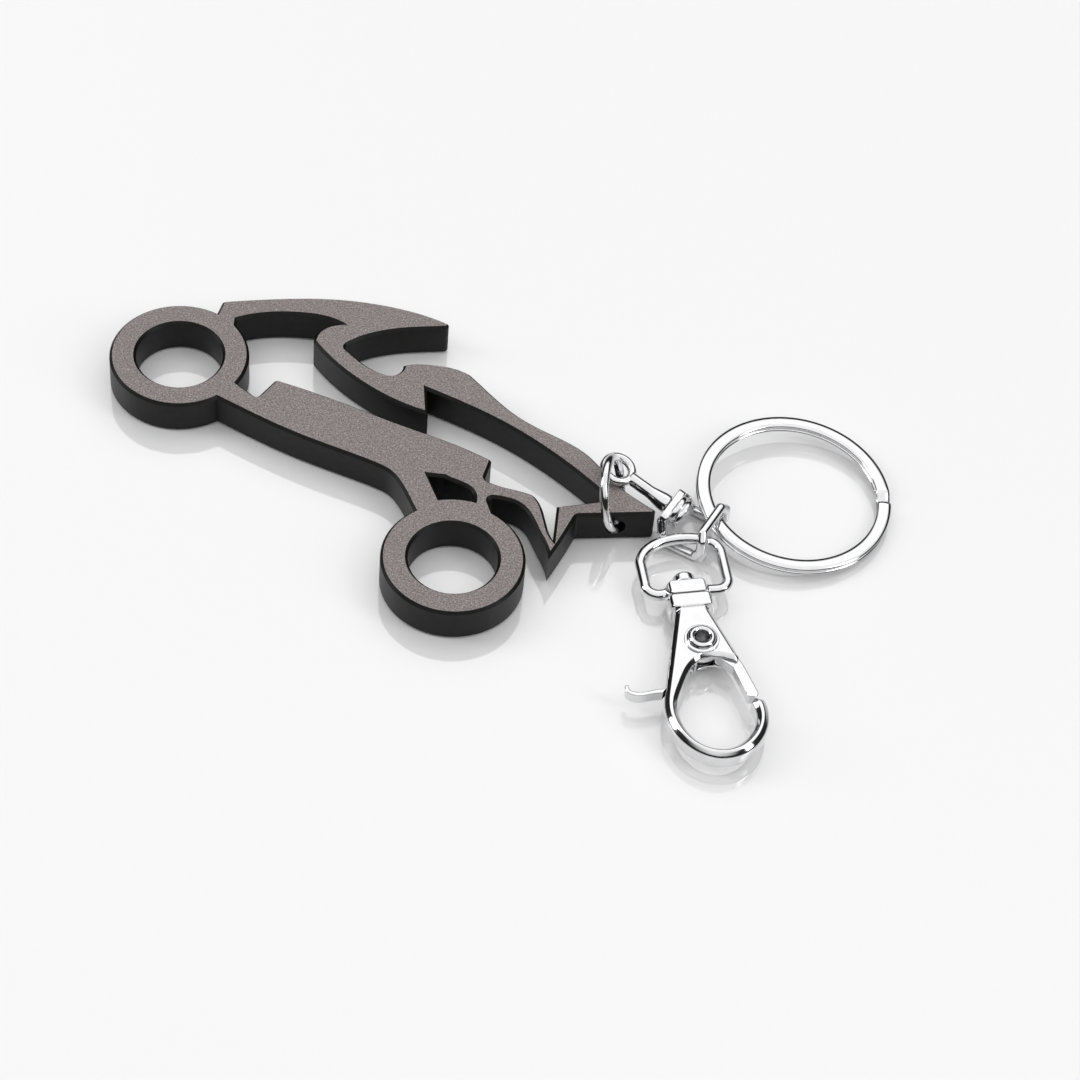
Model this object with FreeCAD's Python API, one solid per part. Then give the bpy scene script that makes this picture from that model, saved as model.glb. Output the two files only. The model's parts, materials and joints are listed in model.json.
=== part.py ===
"""Key-chain bottle opener: a motorcycle-silhouette plate, link ring, swivel, split ring and snap clasp.

Millimetres.  The object lies on a table: +Z is up and z = 0 is the table.  +X runs from the plate's
rear wheel towards the key hardware, and the origin is under the middle of the bounding box.
"""
import FreeCAD, Part
import math
import os

V = FreeCAD.Vector
Z = V(0, 0, 1)

# ---------------------------------------------------------------- plate, in its own wheelbase frame
PLATE_T = 5.4                # thickness of the aluminium plate
WHEEL_R = 10.0               # both wheels
WHEEL_HOLE_R = 6.2           # the round window in each wheel
WHEELBASE = 53.7             # wheel centre to wheel centre
EDGE_CHAMFER = 0.4           # broken edge around both faces
WINDOW_RIM = 0.8             # web left between the engine window and the front wheel
CORNER_R = 0.6               # rounding of the plate's outer corners
PLATE_ORIGIN = V(-54.15, 28.21, 0)   # rear wheel's centre on the table
PLATE_YAW = -37.64           # wheelbase line to +X, degrees

# ---------------------------------------------------------------- link ring through the plate's nose
LINK_HOLE_R = 1.4
LINK_HOLE_MID = V(10.55, 8.6, PLATE_T / 2)
LINK_HOLE_YAW = 84.0         # direction of the drilling, degrees from +X
LINK_RING_R = 4.85           # wire's centre line
LINK_WIRE_R = 0.65
LINK_RING_LEAN = 15.0        # lean from upright, towards the wheels
LINK_RING_SAG = 0.58         # wire's lowest point under the hole's axis

# ---------------------------------------------------------------- swivel
EYE = V(9.95, 13.45, 6.5)   # centre of the eye
PIVOT = V(17.4, 9.95, 4.0)    # back face of the loop's base plate, on the swivel axis
EYE_R = 2.05
EYE_WIRE_R = 0.65
STEM_R = 0.95
STEM_FIT = 0.07              # radial running fit
SHOULDER_R = 1.35
HEAD_R = 1.5
BASE_T = 1.1
BASE_HALF_W = 3.2
BASE_HALF_H = 1.15
LOOP_WIRE_R = 0.7
LOOP_HALF_W = 3.7
LOOP_REACH = 6.8            # swivel pivot to the bow, in plan
BOW_HEIGHT = 4.95           # bow's centre line above the table
LEG_HEIGHT = 0.82

# ---------------------------------------------------------------- split ring
SPLIT_CENTRE = V(35.15, 15.8, 2.25)
SPLIT_OUTER_R = 14.0
SPLIT_INNER_R = 12.0
SPLIT_COIL_T = 0.78
SPLIT_GAP = 0.05
SPLIT_SLOPE = (-0.07, 0.03)  # rise of its plane per millimetre of x and of y
SPLIT_END_ANGLE = 8.0        # where the coil ends sit, degrees

# ---------------------------------------------------------------- snap clasp, in its own frame
CLASP_PIVOT = V(23.1, -14.05, 2.9)    # rivet, at the height of the clasp's long axis
CLASP_YAW = 14.0
BODY_T = 3.4
SLOT_HALF = 0.95             # half height of the slot that the lever works in
LEVER_HALF = 0.85
RIVET_R = 1.55
RIVET_BORE_R = 1.05
RIVET_HEAD_R = 2.0
COLLAR_R = 3.3
COLLAR_FLAT = 2.0            # half height across the collar's flats
HUB_R = 3.0
HUB_FLAT = 1.8
POST_R = 1.1
POST_FIT = 0.07
POST_HEAD_R = 1.6
LOOP_BAR_R = 0.8             # D-shaped loop's bar

SHIFT = V(7.46, -4.59, 0)     # puts the bounding box's middle over the origin


def outline(start, steps):
    """Closed flat wire: a pair is a straight run, a list of pairs a smooth run through them,
    ("arc", via, end) a circular one."""
    edges = []
    here = V(*start, 0)
    for step in steps:
        if isinstance(step, list):
            points = [here] + [V(*p, 0) for p in step]
            curve = Part.BSplineCurve()
            curve.interpolate(points)
        elif step[0] == "arc":
            points = [here, V(*step[1], 0), V(*step[2], 0)]
            curve = Part.Arc(*points)
        else:
            points = [here, V(*step, 0)]
            curve = Part.LineSegment(*points)
        edges.append(curve.toShape())
        here = points[-1]
    return Part.Wire(edges)


def slab(wire, low, high):
    """Solid between two heights over a flat outline."""
    solid = Part.Face(wire).extrude(V(0, 0, high - low))
    solid.translate(V(0, 0, low))
    return solid


def upright_edges(solid, corners):
    """The upright edges over the given corner points."""
    picked = []
    for edge in solid.Edges:
        ends = [vertex.Point for vertex in edge.Vertexes]
        if len(ends) == 2 and abs(ends[0].z - ends[1].z) > 1:
            if any(math.hypot(ends[0].x - x, ends[0].y - y) < 0.01 for x, y in corners):
                picked.append(edge)
    return picked


def rim_edges(solid, low, high, around):
    """Edges lying flat in either face that also lie on the given solid's skin."""
    skin = Part.Shell(around.Faces)
    picked = []
    for edge in solid.Edges:
        box = edge.BoundBox
        level = box.ZMax - box.ZMin < 1e-6 and min(abs(box.ZMin - low), abs(box.ZMin - high)) < 1e-6
        middle = edge.valueAt((edge.FirstParameter + edge.LastParameter) / 2)
        if level and Part.Vertex(middle).distToShape(skin)[0] < 1e-4:
            picked.append(edge)
    return picked


def tube(path, radius):
    """Round bar along a wire."""
    edge = path.Edges[0]
    start = edge.valueAt(edge.FirstParameter)
    along = edge.tangentAt(edge.FirstParameter)
    profile = Part.Wire(Part.makeCircle(radius, start, along))
    return path.makePipeShell([profile], True, True)


def smooth_path(points):
    curve = Part.BSplineCurve()
    curve.interpolate(points)
    return Part.Wire(curve.toShape())


def rod(base, along, start, end, radius):
    """Cylinder on the line through base, between two distances along it."""
    return Part.makeCylinder(radius, end - start, base + along * start, along)


def on_circle(centre_x, radius, degrees):
    angle = math.radians(degrees)
    return (centre_x + radius * math.cos(angle), radius * math.sin(angle))


def level_direction(degrees):
    angle = math.radians(degrees)
    return V(math.cos(angle), math.sin(angle), 0)


# ================================================================ the plate
def plate_silhouette():
    """Outer outline: fairing with its cap-lifting hook, tail, nose, V, front wheel, bar, rear wheel."""
    neck = on_circle(0, WHEEL_R, 102.7)
    bay = on_circle(WHEELBASE, WHEEL_R, 99)
    bar_front = on_circle(WHEELBASE, WHEEL_R, 166)
    bar_rear = on_circle(0, WHEEL_R, -12)
    return outline(neck, [
        (-3.3, 12.0),
        [(2.9, 19.3), (9.05, 25.1), (15.3, 29.2), (20.7, 31.55), (24.3, 32.4)],
        [(21.7, 29.4), (19.65, 27.05), (17.75, 24.4), (16.35, 21.7), (15.5, 17.9)],
        [(19.7, 17.6), (22.9, 18.15), (24.3, 19.1), (24.55, 20.2), (24.0, 21.4)],
        [(24.6, 22.5), (26.7, 24.5), (29.1, 26.1), (32.0, 26.95)],
        [(36.0, 26.4), (41.1, 25.9), (46.0, 26.35), (53.6, 27.5), (57.0, 27.0), (61.0, 26.2), (64.5, 26.15), (69.0, 26.5)],
        (60.7, 17.7),
        [(62.0, 13.5), (63.1, 9.2)],
        [(60.9, 10.75), (58.8, 11.75), (56.0, 13.15), (54.0, 13.6), (52.0, 13.1), (49.6, 11.4)],
        bay,
        ("arc", on_circle(WHEELBASE, WHEEL_R, -45), bar_front),
        [(41.0, 3.85), (38.5, 4.8), (36.9, 5.1), (34.4, 4.7), (27.5, 2.4), (20.2, 0.15), (14.2, -1.2), bar_rear],
        ("arc", on_circle(0, WHEEL_R, -135), neck),
    ])


PLATE_ROUNDED = [(-3.3, 12.0), (24.3, 32.4), (15.5, 17.9), (69.0, 26.5), (60.7, 17.7), (49.6, 11.4)]


def frame_opening():
    """The one opening between the rear wheel, the fairing, the bar and the nose."""
    low = on_circle(0, WHEEL_R, 11.5)
    high = on_circle(0, WHEEL_R, 80.8)
    return outline(low, [
        (13.7, 2.0),
        (13.1, 6.45),
        [(19.95, 9.1), (25.4, 10.9), (32.3, 13.1), (37.65, 15.0), (42.5, 16.4), (45.4, 17.0)],
        (47.0, 13.75),
        [(50.6, 14.95), (52.6, 15.95), (53.8, 16.3), (55.0, 16.05), (57.8, 14.35), (61.2, 12.2)],
        (57.55, 17.1),
        (62.0, 23.2),
        [(54.0, 23.85), (48.0, 23.8), (41.1, 23.1), (34.0, 21.55), (29.6, 20.35)],
        (33.0, 17.0),
        [(26.1, 14.95), (21.6, 14.5), (17.0, 14.6), (11.6, 15.6)],
        [(10.8, 17.6), (11.9, 20.9)],
        [(9.5, 20.1), (6.45, 18.0), (3.8, 15.45), (1.7, 12.6), (0.8, 10.8)],
        high,
        ("arc", on_circle(0, WHEEL_R, 46), low),
    ])


OPENING_ROUNDED = [(13.7, 2.0), (13.1, 6.45), (45.4, 17.0), (47.0, 13.75), (62.0, 23.2), (11.6, 15.6)]


def engine_window():
    rim = WHEEL_R + WINDOW_RIM
    upper = on_circle(WHEELBASE, rim, 117)
    lower = on_circle(WHEELBASE, rim, 143)
    return outline(upper, [
        ("arc", on_circle(WHEELBASE, rim, 130), lower),
        (41.0, 8.6),
        (42.8, 9.95),
        [(44.4, 10.35), (46.4, 10.85), upper],
    ])


def opener_plate():
    blank = slab(plate_silhouette(), 0, PLATE_T)
    blank = blank.makeFillet(CORNER_R, upright_edges(blank, PLATE_ROUNDED))
    opening = slab(frame_opening(), 0, PLATE_T)
    opening = opening.makeFillet(CORNER_R, upright_edges(opening, OPENING_ROUNDED))
    cutters = [opening, slab(engine_window(), 0, PLATE_T)]
    for centre_x in (0, WHEELBASE):
        cutters.append(Part.makeCylinder(WHEEL_HOLE_R, PLATE_T, V(centre_x, 0, 0)))
    plate = blank
    for cutter in cutters:
        plate = plate.cut(cutter)
        plate = plate.makeChamfer(EDGE_CHAMFER, rim_edges(plate, 0, PLATE_T, cutter))
    plate = plate.common(blank.makeChamfer(EDGE_CHAMFER, rim_edges(blank, 0, PLATE_T, blank)))
    plate.rotate(V(0, 0, 0), Z, PLATE_YAW)
    plate.translate(PLATE_ORIGIN)
    drill = level_direction(LINK_HOLE_YAW)
    return plate.cut(rod(LINK_HOLE_MID, drill, -5, 5, LINK_HOLE_R))


# ================================================================ link ring and swivel
def link_ring():
    drill = level_direction(LINK_HOLE_YAW)
    lean = math.radians(LINK_RING_LEAN)
    up = Z * math.cos(lean) + Z.cross(drill) * math.sin(lean)
    centre = LINK_HOLE_MID + up * (LINK_RING_R - LINK_RING_SAG)
    return Part.makeTorus(LINK_RING_R, LINK_WIRE_R, centre, drill.cross(up))


def swivel_frame():
    """Unit vectors of the swivel: along its axis, level across it, and the rest upwards."""
    along = (PIVOT - EYE).normalize()
    across = Z.cross(along).normalize()
    return along, across, along.cross(across)


def swivel_eye():
    """Eye round the link ring's wire, and the stem that the loop turns on."""
    along, across, up = swivel_frame()
    reach = (PIVOT - EYE).Length
    eye = Part.makeTorus(EYE_R, EYE_WIRE_R, EYE, up)
    stem = rod(EYE, along, EYE_R, reach + BASE_T + 0.12, STEM_R)
    shoulder = Part.makeCone(STEM_R, SHOULDER_R, 2.2, EYE + along * (reach - 3.1), along)
    collar = rod(EYE, along, reach - 0.9, reach - 0.1, SHOULDER_R)
    head = Part.makeCone(HEAD_R, 1.0, 0.8, EYE + along * (reach + BASE_T + 0.1), along)
    for piece in (stem, shoulder, collar, head):
        eye = eye.fuse(piece)
    return eye.removeSplitter()


def loop_point(reach, side, height):
    """Point in plan along and across the swivel, at a height above the table."""
    along, across, up = swivel_frame()
    level = V(along.x, along.y, 0).normalize()
    point = PIVOT + level * reach + across * side
    return V(point.x, point.y, height)


def swivel_loop():
    """Stirrup: base plate, two legs low over the table, and a raised bow."""
    half = [
        (0.55, 2.8, 3.8),
        (1.2, LOOP_HALF_W, 2.5),
        (2.3, LOOP_HALF_W, LEG_HEIGHT),
        (6.5, LOOP_HALF_W, LEG_HEIGHT),
        (7.25, LOOP_HALF_W, 2.2),
        (7.25, LOOP_HALF_W - 0.1, 4.1),
        (LOOP_REACH, LOOP_HALF_W - 1.0, BOW_HEIGHT),
    ]
    ends = half + [(reach, -side, height) for reach, side, height in reversed(half)]
    points = [loop_point(*end) for end in ends]
    along, across, up = swivel_frame()
    loop = Part.makeBox(BASE_T, 2 * BASE_HALF_W, 2 * BASE_HALF_H, V(0, -BASE_HALF_W, -BASE_HALF_H))
    loop = loop.makeFillet(0.9, [e for e in loop.Edges if abs(e.tangentAt(0).x) > 0.9])
    loop.Placement = FreeCAD.Placement(FreeCAD.Matrix(
        along.x, across.x, up.x, PIVOT.x, along.y, across.y, up.y, PIVOT.y,
        along.z, across.z, up.z, PIVOT.z, 0, 0, 0, 1))
    for here, there in zip(points, points[1:]):
        run = there - here
        loop = loop.fuse(Part.makeCylinder(LOOP_WIRE_R, run.Length, here, run))
        loop = loop.fuse(Part.makeSphere(LOOP_WIRE_R, there))
    return loop.cut(rod(PIVOT, along, -1, BASE_T + 1, STEM_R + STEM_FIT))


# ================================================================ split ring
def coil(low, start, sweep):
    """One flat turn of the ring between two angles."""
    outer = Part.makeCylinder(SPLIT_OUTER_R, SPLIT_COIL_T, V(0, 0, low), Z, sweep)
    inner = Part.makeCylinder(SPLIT_INNER_R, SPLIT_COIL_T, V(0, 0, low), Z, sweep)
    turn = outer.cut(inner)
    turn.rotate(V(0, 0, 0), Z, start)
    return turn


def joggle():
    """Short ramp that carries the wire from the lower coil to the upper one."""
    step = SPLIT_COIL_T + SPLIT_GAP
    half = math.radians(3.0)
    ramp = []
    for side, low in ((-1, -step + SPLIT_GAP / 2), (1, SPLIT_GAP / 2)):
        angle = side * half
        inner = V(SPLIT_INNER_R * math.cos(angle), SPLIT_INNER_R * math.sin(angle), low)
        outer = V(SPLIT_OUTER_R * math.cos(angle), SPLIT_OUTER_R * math.sin(angle), low)
        lift = V(0, 0, SPLIT_COIL_T)
        ramp.append(Part.makePolygon([inner, outer, outer + lift, inner + lift, inner]))
    return Part.makeLoft(ramp, True, True)


def split_ring():
    top = coil(SPLIT_GAP / 2, 3.0, 351.0)
    bottom = coil(-SPLIT_GAP / 2 - SPLIT_COIL_T, 6.0, 351.0)
    ring = top.fuse(bottom).fuse(joggle())
    ring.rotate(V(0, 0, 0), Z, SPLIT_END_ANGLE)
    normal = V(-SPLIT_SLOPE[0], -SPLIT_SLOPE[1], 1).normalize()
    ring.Placement = FreeCAD.Placement(SPLIT_CENTRE, FreeCAD.Rotation(Z, normal)) * ring.Placement
    return ring


# ================================================================ snap clasp
def in_clasp(shape):
    """From the clasp's own frame to the table's."""
    shape.rotate(V(0, 0, 0), Z, CLASP_YAW)
    shape.translate(CLASP_PIVOT)
    return shape


def clasp_outline():
    return outline((-2.3, 6.3), [
        (2.1, 6.3),
        (4.75, -3.3),
        (4.2, -4.1),
        [(1.9, -3.0), (0.25, -2.75), (-1.2, -3.3), (-3.8, -6.8), (-5.3, -10.3), (-5.0, -13.9),
         (-2.9, -17.0), (0.0, -17.9), (3.1, -16.4), (4.8, -13.4), (4.6, -10.9)],
        (5.3, -10.05),
        (6.5, -10.6),
        [(6.5, -13.8), (4.9, -17.0), (2.1, -19.1), (-1.5, -19.4), (-5.0, -17.2), (-7.0, -13.2),
         (-7.1, -10.1), (-6.3, -7.0), (-5.1, -3.1), (-3.8, 1.2), (-2.3, 6.3)],
    ])


def lever_slot():
    """Room for the lever between the body's two skins."""
    slot = Part.makeCylinder(3.4, 2 * SLOT_HALF, V(0, 0, -SLOT_HALF))
    gate_side = outline((0.0, 2.6), [(6.5, 2.6), (6.5, -9.5), (-1.2, -9.5), (0.0, 0.0), (0.0, 2.6)])
    tab_side = outline((0.0, 0.0), [(-12.5, -2.6), (-12.5, -9.6), (-8.0, -9.6), (0.0, -2.0), (0.0, 0.0)])
    for wire in (gate_side, tab_side):
        slot = slot.fuse(slab(wire, -SLOT_HALF, SLOT_HALF))
    return slot


def flatted_drum(start, end, radius, flat):
    """Drum on the clasp's long axis with two flats parallel to its face."""
    drum = Part.makeCylinder(radius, end - start, V(0, start, 0), V(0, 1, 0))
    drum = drum.makeFillet(0.35, [e for e in drum.Edges if len(e.Vertexes) == 1])
    flats = Part.makeBox(2 * radius, end - start, 2 * flat, V(-radius, start, -flat))
    return drum.common(flats)


def clasp_body():
    body = slab(clasp_outline(), -BODY_T / 2, BODY_T / 2)
    body = body.makeChamfer(0.7, rim_edges(body, -BODY_T / 2, BODY_T / 2, body))
    body = body.cut(lever_slot())
    body = body.cut(Part.makeCylinder(RIVET_R, BODY_T, V(0, 0, -BODY_T / 2)))
    body = body.fuse(flatted_drum(5.8, 8.2, COLLAR_R, COLLAR_FLAT))
    post = rod(V(0, 0, 0), V(0, 1, 0), 7.5, 11.0, POST_R)
    head = Part.makeSphere(2.1, V(0, 10.7, 0)).common(rod(V(0, 0, 0), V(0, 1, 0), 10.8, 13.2, POST_HEAD_R))
    return in_clasp(body.fuse(post).fuse(head))


def clasp_rivet():
    profile = outline((RIVET_BORE_R, 0), [
        (RIVET_R, 0),
        (RIVET_R, BODY_T / 2),
        (2.4, BODY_T / 2),
        (2.4, BODY_T / 2 + 0.3),
        (RIVET_HEAD_R, BODY_T / 2 + 0.3),
        ("arc", (1.75, BODY_T / 2 + 0.85), (1.4, BODY_T / 2 + 1.0)),
        (RIVET_BORE_R, BODY_T / 2 + 0.75),
        (RIVET_BORE_R, 0),
    ])
    half = Part.Face(profile)
    half.rotate(V(0, 0, 0), V(1, 0, 0), 90)
    half = half.revolve(V(0, 0, 0), Z, 360)
    return in_clasp(half.fuse(half.mirror(V(0, 0, 0), Z)).removeSplitter())


def clasp_lever():
    """Wishbone on the rivet: the right arm is the gate, the left one ends in the thumb tab."""
    hub = Part.makeCylinder(2.75, LEVER_HALF, V(0, 0, 0))
    gate = slab(outline((1.2, -1.9), [
        (2.6, 0.4),
        (3.7, -0.6),
        (5.0, -4.3),
        (6.0, -9.0),
        ("arc", (5.75, -9.65), (5.0, -9.7)),
        ("arc", (4.45, -9.5), (4.4, -9.0)),
        (3.6, -4.7),
        (1.2, -1.9),
    ]), -LEVER_HALF, LEVER_HALF)
    tab = slab(outline((-1.4, -2.0), [
        (-2.0, -1.3),
        (-6.5, -7.0),
        [(-8.4, -7.1), (-10.2, -7.1), (-11.0, -6.7), (-11.1, -5.8)],
        (-11.6, -5.8),
        [(-11.5, -7.0), (-10.4, -7.7), (-8.5, -7.7), (-6.8, -7.7)],
        (-1.4, -2.0),
    ]), -LEVER_HALF, LEVER_HALF)
    lever = hub.fuse(gate).fuse(tab)
    lever = lever.cut(Part.makeCylinder(RIVET_R + 0.07, 4, V(0, 0, -2)))
    return in_clasp(lever.cut(Part.makeCylinder(2.5, LEVER_HALF + 0.1, V(0, 0, -LEVER_HALF - 0.1))))


def clasp_spring():
    """Torsion spring round the rivet, under the lever's hub."""
    helix = Part.makeHelix(0.3, 0.4, 2.05)
    helix.translate(V(0, 0, -0.62))
    return in_clasp(tube(Part.Wire(helix.Edges), 0.13))


def clasp_loop():
    """D-shaped loop with the hub that the clasp turns in."""
    path = outline((2.2, 9.7), [
        (4.4, 9.6),
        ("arc", (5.6, 10.1), (6.1, 11.4)),
        (6.2, 15.8),
        [(5.5, 17.8), (4.0, 18.75), (1.5, 19.25), (-1.4, 19.0), (-4.0, 17.7), (-5.4, 15.4)],
        (-5.45, 11.6),
        ("arc", (-5.0, 10.15), (-3.8, 9.6)),
        (-2.2, 9.7),
    ])
    bar = tube(path, LOOP_BAR_R)
    hub = flatted_drum(8.4, 10.65, HUB_R, HUB_FLAT)
    bore = rod(V(0, 0, 0), V(0, 1, 0), 8.0, 11.0, POST_R + POST_FIT)
    return in_clasp(bar.fuse(hub).cut(bore))


NODES = [opener_plate, link_ring, swivel_eye, swivel_loop, split_ring, clasp_loop, clasp_body, clasp_rivet,
         clasp_lever, clasp_spring]

os.makedirs("parts", exist_ok=True)
for make in NODES:
    shape = make()
    shape.translate(SHIFT)
    shape.exportStep("parts/" + make.__name__ + ".step")
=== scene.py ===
import json
import math
import bpy
from mathutils import Matrix, Vector


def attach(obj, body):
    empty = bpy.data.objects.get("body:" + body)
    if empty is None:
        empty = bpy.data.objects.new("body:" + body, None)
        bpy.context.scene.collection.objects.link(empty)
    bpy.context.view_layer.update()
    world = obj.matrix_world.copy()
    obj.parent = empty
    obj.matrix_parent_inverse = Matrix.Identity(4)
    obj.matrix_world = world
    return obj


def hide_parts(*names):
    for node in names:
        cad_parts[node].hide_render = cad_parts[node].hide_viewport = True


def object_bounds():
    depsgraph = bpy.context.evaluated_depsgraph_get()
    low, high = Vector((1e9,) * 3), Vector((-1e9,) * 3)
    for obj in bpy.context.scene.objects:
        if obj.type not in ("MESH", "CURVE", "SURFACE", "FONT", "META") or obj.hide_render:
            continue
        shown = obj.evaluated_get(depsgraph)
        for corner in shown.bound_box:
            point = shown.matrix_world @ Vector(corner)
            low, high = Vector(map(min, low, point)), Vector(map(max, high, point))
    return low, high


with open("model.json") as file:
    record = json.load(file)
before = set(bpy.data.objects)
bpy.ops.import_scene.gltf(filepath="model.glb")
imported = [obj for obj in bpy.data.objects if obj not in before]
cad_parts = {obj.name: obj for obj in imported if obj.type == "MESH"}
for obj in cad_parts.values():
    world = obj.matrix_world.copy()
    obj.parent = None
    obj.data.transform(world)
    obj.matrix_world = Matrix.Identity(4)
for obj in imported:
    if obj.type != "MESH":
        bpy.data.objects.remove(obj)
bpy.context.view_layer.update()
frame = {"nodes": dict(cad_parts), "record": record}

nodes = frame["nodes"]
BODY_OF = {node: body for body, held in frame["record"]["behaviour"]["bodies"].items() for node in held}
MM = 0.001

# Soft-edged copies of the cast and drawn pieces: voxel size in metres, smoothing passes.
CAST_PIECES = {
    "clasp_body": (0.00012, 14),
    "clasp_loop": (0.00012, 6),
    "swivel_loop": (0.0001, 12),
    "swivel_eye": (0.0001, 8),
    "clasp_lever": (0.0001, 3),
    "clasp_rivet": (0.00008, 3),
}

# Split key ring: middle radius, half width and half height of its wire, and each turn's offset.
RING_RADIUS = 0.013
WIRE_HALF_WIDTH = 0.001
WIRE_HALF_HEIGHT = 0.00039
TURN_OFFSET = 0.000415
RING_START = 14      # degrees
RING_SWEEP = 708
STEP_START = 364     # where the wire climbs from the lower turn to the upper one
STEP_SWEEP = 8

# Swivel barrel, turned about the swivel axis: (distance along the axis, radius) in mm.
BARREL_PROFILE = [
    (1.0, 1.65), (1.0, 2.15), (1.08, 2.33), (1.2, 2.4), (1.68, 2.4),
    (1.8, 2.33), (1.88, 2.18), (2.0, 2.18), (2.08, 2.33), (2.2, 2.4),
    (2.55, 2.4), (2.68, 2.33), (2.75, 2.15), (2.75, 1.75), (2.65, 1.65),
]

# Camera at the photograph's viewing angle.
CAMERA_TARGET = Vector((0.00746, -0.00459, 0.0054))
CAMERA_DISTANCE = 0.4483
CAMERA_TILT = 49.55    # degrees above the horizon
CAMERA_ROLL = 5.667
CAMERA_LENS = 108.35   # mm on a 36 mm sensor


# ---------------------------------------------------------------- material nodes
def new_material(name):
    material = bpy.data.materials.new(name)
    material.use_nodes = True
    tree = material.node_tree
    return material, tree, tree.nodes["Principled BSDF"]


def add(tree, kind, **values):
    """New node, with its inputs or its own settings filled in by name."""
    node = tree.nodes.new(kind)
    for key, value in values.items():
        if key in node.inputs:
            node.inputs[key].default_value = value
        else:
            setattr(node, key, value)
    return node


def object_noise(tree, scale, detail=3.0):
    """Noise in object space; scale counts features per metre."""
    where = add(tree, "ShaderNodeTexCoord")
    noise = add(tree, "ShaderNodeTexNoise", Scale=scale, Detail=detail)
    tree.links.new(where.outputs["Object"], noise.inputs["Vector"])
    return noise.outputs["Fac"]


def ramp(tree, source, stops):
    node = add(tree, "ShaderNodeValToRGB")
    elements = node.color_ramp.elements
    while len(elements) < len(stops):
        elements.new(0.5)
    for element, (at, colour) in zip(elements, stops):
        element.position = at
        element.color = (*colour, 1)
    tree.links.new(source, node.inputs["Fac"])
    return node.outputs["Color"]


def span(tree, source, low, high, out_low, out_high):
    """Map low...high to out_low...out_high."""
    node = add(tree, "ShaderNodeMapRange")
    for key, value in (("From Min", low), ("From Max", high), ("To Min", out_low), ("To Max", out_high)):
        node.inputs[key].default_value = value
    tree.links.new(source, node.inputs["Value"])
    return node.outputs["Result"]


def bump(tree, shader, source, strength, depth):
    node = add(tree, "ShaderNodeBump", Strength=strength, Distance=depth)
    tree.links.new(source, node.inputs["Height"])
    tree.links.new(node.outputs["Normal"], shader.inputs["Normal"])


def mixed_colour(tree, share, low, high):
    """Colour low where share is 0, and high where it is 1."""
    colour_low, colour_high, colour_out = 6, 7, 2
    mix = add(tree, "ShaderNodeMix", data_type="RGBA")
    tree.links.new(share, mix.inputs["Factor"])
    tree.links.new(low, mix.inputs[colour_low])
    tree.links.new(high, mix.inputs[colour_high])
    return mix.outputs[colour_out]


# ---------------------------------------------------------------- finishes
def anodised_plate():
    """Speckled taupe-grey faces, near-black satin on the chamfers and side walls."""
    material, tree, shader = new_material("anodised_plate")
    geometry = add(tree, "ShaderNodeNewGeometry")
    split = add(tree, "ShaderNodeSeparateXYZ")
    tree.links.new(geometry.outputs["True Normal"], split.inputs["Vector"])
    level = add(tree, "ShaderNodeMath", operation="ABSOLUTE")
    tree.links.new(split.outputs["Z"], level.inputs[0])
    wall_below, face_above = 0.93, 0.97
    face = span(tree, level.outputs[0], wall_below, face_above, 0.0, 1.0)
    grain = object_noise(tree, 4600, 2.0)
    speckle = ramp(tree, grain, [
        (0.32, (0.135, 0.118, 0.113)), (0.45, (0.235, 0.207, 0.199)),
        (0.56, (0.270, 0.239, 0.230)), (0.70, (0.45, 0.41, 0.395))])
    edge = ramp(tree, object_noise(tree, 900), [
        (0.35, (0.004, 0.004, 0.0037)), (0.7, (0.008, 0.0078, 0.0075))])
    tree.links.new(mixed_colour(tree, face, edge, speckle), shader.inputs["Base Color"])
    edge_roughness, face_roughness = 0.42, 0.55
    tree.links.new(span(tree, face, 0.0, 1.0, edge_roughness, face_roughness), shader.inputs["Roughness"])
    shader.inputs["Metallic"].default_value = 0.0
    shader.inputs["Specular IOR Level"].default_value = 0.22
    bump(tree, shader, grain, 0.25, 0.00003)
    return material


def chrome(name, colour, smoothest, roughest):
    """Bright plating with faint clouding and fine scuffs."""
    material, tree, shader = new_material(name)
    clouded = tuple(c * 0.90 for c in colour)
    tint = ramp(tree, object_noise(tree, 420, 4.0), [(0.3, clouded), (0.7, colour)])
    tree.links.new(tint, shader.inputs["Base Color"])
    scuffs = span(tree, object_noise(tree, 1500, 5.0), 0.3, 0.7, smoothest, roughest)
    tree.links.new(scuffs, shader.inputs["Roughness"])
    shader.inputs["Metallic"].default_value = 1.0
    bump(tree, shader, object_noise(tree, 2600, 3.0), 0.03, 0.00002)
    return material


plate_finish = anodised_plate()
cast_chrome = chrome("cast_chrome", (0.80, 0.80, 0.81), 0.06, 0.12)
ring_chrome = chrome("ring_chrome", (0.82, 0.82, 0.83), 0.05, 0.11)
steel = chrome("spring_steel", (0.45, 0.45, 0.46), 0.2, 0.35)
FINISH = {"opener_plate": plate_finish, "split_ring": ring_chrome, "clasp_spring": steel}

for node, obj in nodes.items():
    for slot in obj.material_slots:
        slot.material = FINISH.get(node, cast_chrome)


# ---------------------------------------------------------------- pieces
def wear(obj, material):
    obj.data.materials.clear()
    obj.data.materials.append(material)


def new_object(name, data):
    obj = bpy.data.objects.new(name, data)
    bpy.context.scene.collection.objects.link(obj)
    return obj


def new_mesh(name, points, faces):
    mesh = bpy.data.meshes.new(name)
    mesh.from_pydata(points, [], faces)
    return mesh


def joint_line(child, start):
    """A point on a body's joint axis, and the turn that brings the start direction onto it."""
    joint = next(j for j in frame["record"]["behaviour"]["joints"] if j["child"] == child)
    return Vector(joint["pos_m"]), start.rotation_difference(Vector(joint["axis"]))


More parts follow.
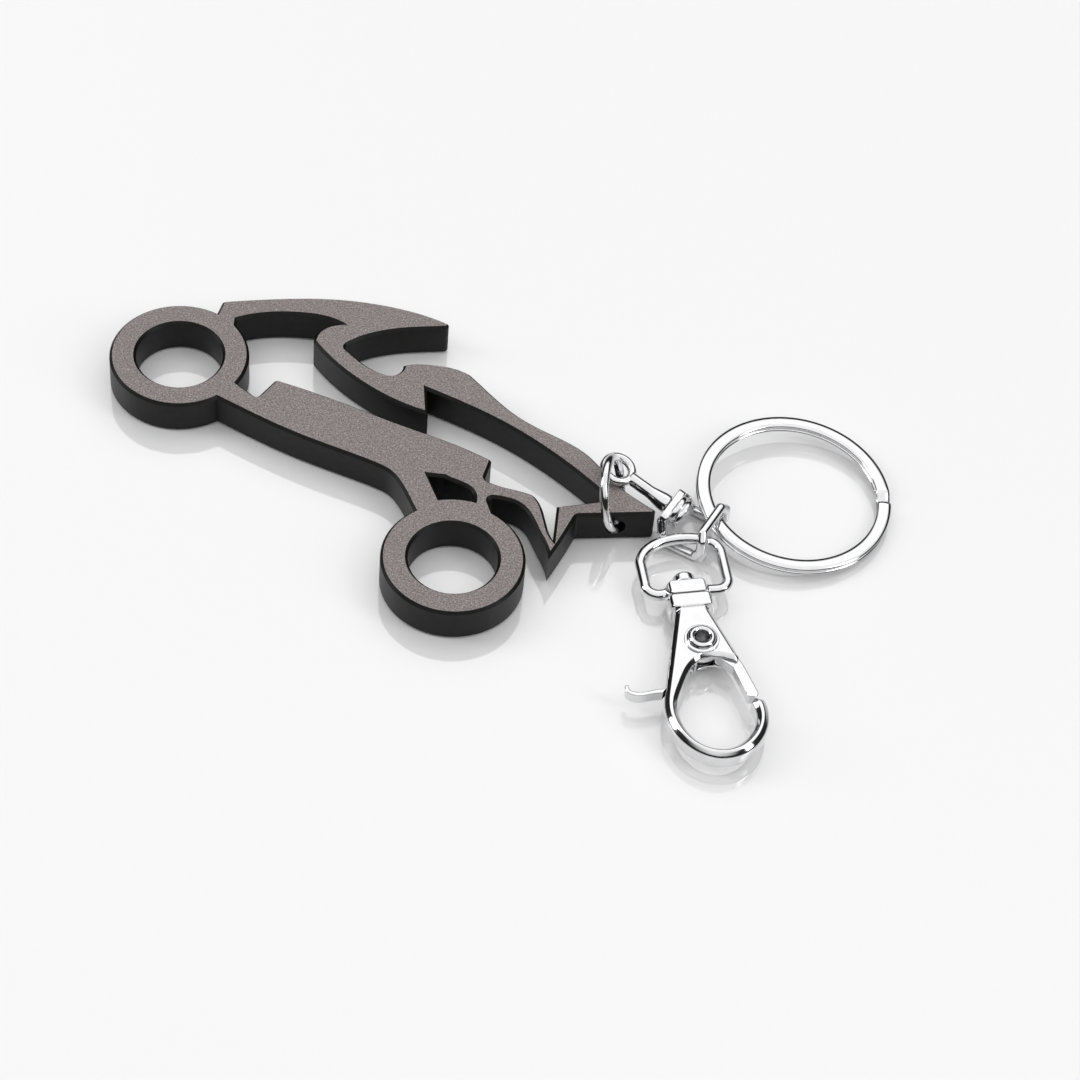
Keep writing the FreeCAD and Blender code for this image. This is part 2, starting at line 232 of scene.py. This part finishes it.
def softened(node, voxel, passes):
    """A finer copy of a node, its edges rounded as casting and tumbling leave them."""
    piece = new_object(node + "_cast", nodes[node].data.copy())
    remesh = piece.modifiers.new("remesh", "REMESH")
    remesh.mode = "VOXEL"
    remesh.voxel_size = voxel
    smooth = piece.modifiers.new("smooth", "SMOOTH")
    smooth.factor = 0.5
    smooth.iterations = passes
    bpy.context.view_layer.update()
    baked = bpy.data.meshes.new_from_object(piece.evaluated_get(bpy.context.evaluated_depsgraph_get()))
    piece.modifiers.clear()
    piece.data = baked
    for polygon in baked.polygons:
        polygon.use_smooth = True
    wear(piece, cast_chrome)
    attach(piece, BODY_OF[node])
    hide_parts(node)


def wire_section(sides):
    """Points round the key ring's wire, as (outwards, upwards)."""
    angles = [2 * math.pi * k / sides for k in range(sides)]
    return [(WIRE_HALF_WIDTH * math.cos(a), WIRE_HALF_HEIGHT * math.sin(a)) for a in angles]


def split_ring_wire():
    """Two turns of flat wire with rounded edges, stepping from the lower turn to the upper one."""
    centre, tilt = joint_line("split_ring", Vector((0, 0, 1)))
    around, steps = 24, 480
    points = []
    for step in range(steps + 1):
        degrees = RING_START + RING_SWEEP * step / steps
        climb = min(max((degrees - STEP_START) / STEP_SWEEP, 0), 1)
        height = TURN_OFFSET * (2 * climb * climb * (3 - 2 * climb) - 1)
        turn = math.radians(degrees)
        for out, high in wire_section(around):
            radius = RING_RADIUS + out
            local = Vector((radius * math.cos(turn), radius * math.sin(turn), height + high))
            points.append(centre + tilt @ local)
    faces = []
    for step in range(steps):
        for k in range(around):
            a = step * around + k
            b = step * around + (k + 1) % around
            faces.append((a, b, b + around, a + around))
    faces.append(tuple(reversed(range(around))))
    faces.append(tuple(range(steps * around, (steps + 1) * around)))
    mesh = new_mesh("split_ring_wire", points, faces)
    for polygon in mesh.polygons:
        polygon.use_smooth = len(polygon.vertices) == 4
    ring = new_object("split_ring_wire", mesh)
    wear(ring, ring_chrome)
    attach(ring, "split_ring")
    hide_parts("split_ring")


def swivel_barrel():
    """Two-banded barrel on the inside of the swivel loop's base, round the eye's riveted head."""
    centre, turn_to = joint_line("swivel_loop", Vector((1, 0, 0)))
    sides = 64
    points = []
    for k in range(sides):
        angle = 2 * math.pi * k / sides
        for along, out in BARREL_PROFILE:
            local = Vector((along, out * math.cos(angle), out * math.sin(angle))) * MM
            points.append(centre + turn_to @ local)
    rows = len(BARREL_PROFILE)
    faces = []
    for k in range(sides):
        a, b = k * rows, ((k + 1) % sides) * rows
        for i in range(rows):
            faces.append((a + i, b + i, b + (i + 1) % rows, a + (i + 1) % rows))
    mesh = new_mesh("swivel_barrel", points, faces)
    for polygon in mesh.polygons:
        polygon.use_smooth = True
    barrel = new_object("swivel_barrel", mesh)
    wear(barrel, cast_chrome)
    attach(barrel, "swivel_loop")


for node, (voxel, passes) in CAST_PIECES.items():
    softened(node, voxel, passes)
split_ring_wire()
swivel_barrel()


# ---------------------------------------------------------------- floor, light, camera
def stage_floor():
    """Glossy pale table, just under the object, that mirrors it faintly."""
    material, tree, shader = new_material("pale_floor")
    tone = ramp(tree, object_noise(tree, 3, 2.0), [(0.3, (0.90, 0.90, 0.90)), (0.7, (0.92, 0.92, 0.92))])
    tree.links.new(tone, shader.inputs["Base Color"])
    shader.inputs["Roughness"].default_value = 0.06
    shader.inputs["IOR"].default_value = 2.2
    reach = 1.5
    corners = [(-reach, -reach, 0), (reach, -reach, 0), (reach, reach, 0), (-reach, reach, 0)]
    floor = new_object("floor", new_mesh("floor", corners, [(0, 1, 2, 3)]))
    gap = 0.00002
    floor.location.z = float(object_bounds()[0][2]) - gap
    floor.data.materials.append(material)


def softbox(name, place, size, watts):
    light = bpy.data.lights.new(name, "AREA")
    light.shape = "RECTANGLE"
    light.size, light.size_y = size
    light.energy = watts
    lamp = new_object(name, light)
    lamp.location = place
    lamp.rotation_euler = (-Vector(place)).to_track_quat("-Z", "Y").to_euler()


def studio():
    """Bright overhead dome over a dark horizon, so that the chrome has something to show."""
    world = bpy.data.worlds.new("studio")
    world.use_nodes = True
    tree = world.node_tree
    where = add(tree, "ShaderNodeTexCoord")
    split = add(tree, "ShaderNodeSeparateXYZ")
    tree.links.new(where.outputs["Generated"], split.inputs["Vector"])
    dome = ramp(tree, split.outputs["Z"], [
        (0.0, (0.02, 0.02, 0.02)), (0.50, (0.02, 0.02, 0.02)),
        (0.62, (0.85, 0.85, 0.85)), (1.0, (1, 1, 1))])
    background = tree.nodes["Background"]
    tree.links.new(dome, background.inputs["Color"])
    background.inputs["Strength"].default_value = 1.12
    bpy.context.scene.world = world
    softbox("back", (0.02, 0.50, 0.62), (1.1, 0.62), 0.7)
    softbox("left", (-0.7, 0.05, 0.40), (0.25, 0.5), 1.3)
    softbox("right", (0.65, -0.2, 0.45), (0.2, 0.5), 1.1)
    bpy.context.scene.view_settings.view_transform = "Standard"


def photo_camera():
    tilt = math.radians(CAMERA_TILT)
    roll = math.radians(CAMERA_ROLL)
    back = Vector((0, -math.cos(tilt), math.sin(tilt)))
    right = Vector((math.cos(roll), math.sin(tilt) * math.sin(roll), math.cos(tilt) * math.sin(roll)))
    up = back.cross(right)
    place = CAMERA_TARGET + back * CAMERA_DISTANCE
    data = bpy.data.cameras.new("photo_camera")
    data.sensor_width = 36
    data.lens = CAMERA_LENS
    data.clip_start = 0.01
    camera = new_object("photo_camera", data)
    camera.matrix_world = Matrix((
        (right.x, up.x, back.x, place.x),
        (right.y, up.y, back.y, place.y),
        (right.z, up.z, back.z, place.z),
        (0, 0, 0, 1)))
    bpy.context.scene.camera = camera


stage_floor()
studio()
photo_camera()
